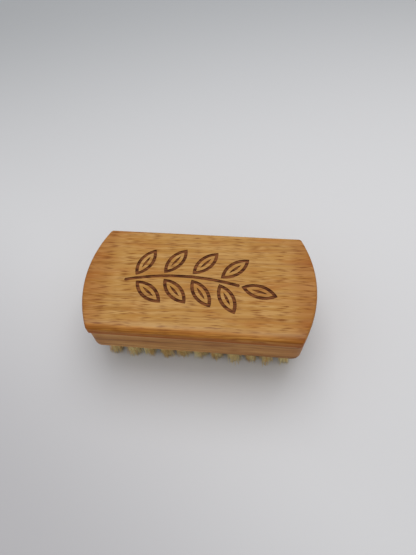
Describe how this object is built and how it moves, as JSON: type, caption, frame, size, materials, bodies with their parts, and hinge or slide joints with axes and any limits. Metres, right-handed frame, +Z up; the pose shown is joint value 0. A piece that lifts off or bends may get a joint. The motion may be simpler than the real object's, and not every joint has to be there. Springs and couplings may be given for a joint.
{
  "type": "nail brush",
  "caption": "Wooden nail brush: arc-ended beech cover with rounded long edges and an engraved sprig, glued on a bristle board with rows of short fibre tufts.",
  "frame": {"origin": "on the table under the middle of the cover, where the trimmed bristle tips stand", "axes": "+X along the brush to the right, +Y to the back, away from the camera, +Z up through the cover's top"},
  "size_m": [0.095, 0.049, 0.031],
  "materials": {
    "cover_beech": "oiled beech, satin",
    "board_beech": "oiled beech, satin",
    "drawing_wire": "drawn brass wire",
    "bristle": "pale natural fibre, trimmed flat"
  },
  "bodies": {
    "root": {"cover_board": "cover_beech", "bristle_board": "board_beech", "drawing_wires": "drawing_wire", "tuft_1_01": "bristle", "tuft_1_02": "bristle", "tuft_1_03": "bristle", "tuft_1_04": "bristle", "tuft_1_05": "bristle", "tuft_1_06": "bristle", "tuft_1_07": "bristle", "tuft_1_08": "bristle", "tuft_1_09": "bristle", "tuft_1_10": "bristle", "tuft_1_11": "bristle", "tuft_2_01": "bristle", "tuft_2_02": "bristle", "tuft_2_03": "bristle", "tuft_2_04": "bristle", "tuft_2_05": "bristle", "tuft_2_06": "bristle", "tuft_2_07": "bristle", "tuft_2_08": "bristle", "tuft_2_09": "bristle", "tuft_2_10": "bristle", "tuft_2_11": "bristle", "tuft_3_01": "bristle", "tuft_3_02": "bristle", "tuft_3_03": "bristle", "tuft_3_04": "bristle", "tuft_3_05": "bristle", "tuft_3_06": "bristle", "tuft_3_07": "bristle", "tuft_3_08": "bristle", "tuft_3_09": "bristle", "tuft_3_10": "bristle", "tuft_3_11": "bristle", "tuft_4_01": "bristle", "tuft_4_02": "bristle", "tuft_4_03": "bristle", "tuft_4_04": "bristle", "tuft_4_05": "bristle", "tuft_4_06": "bristle", "tuft_4_07": "bristle", "tuft_4_08": "bristle", "tuft_4_09": "bristle", "tuft_4_10": "bristle", "tuft_4_11": "bristle", "tuft_5_01": "bristle", "tuft_5_02": "bristle", "tuft_5_03": "bristle", "tuft_5_04": "bristle", "tuft_5_05": "bristle", "tuft_5_06": "bristle", "tuft_5_07": "bristle", "tuft_5_08": "bristle", "tuft_5_09": "bristle", "tuft_5_10": "bristle", "tuft_5_11": "bristle"}
  },
  "joints": []
}
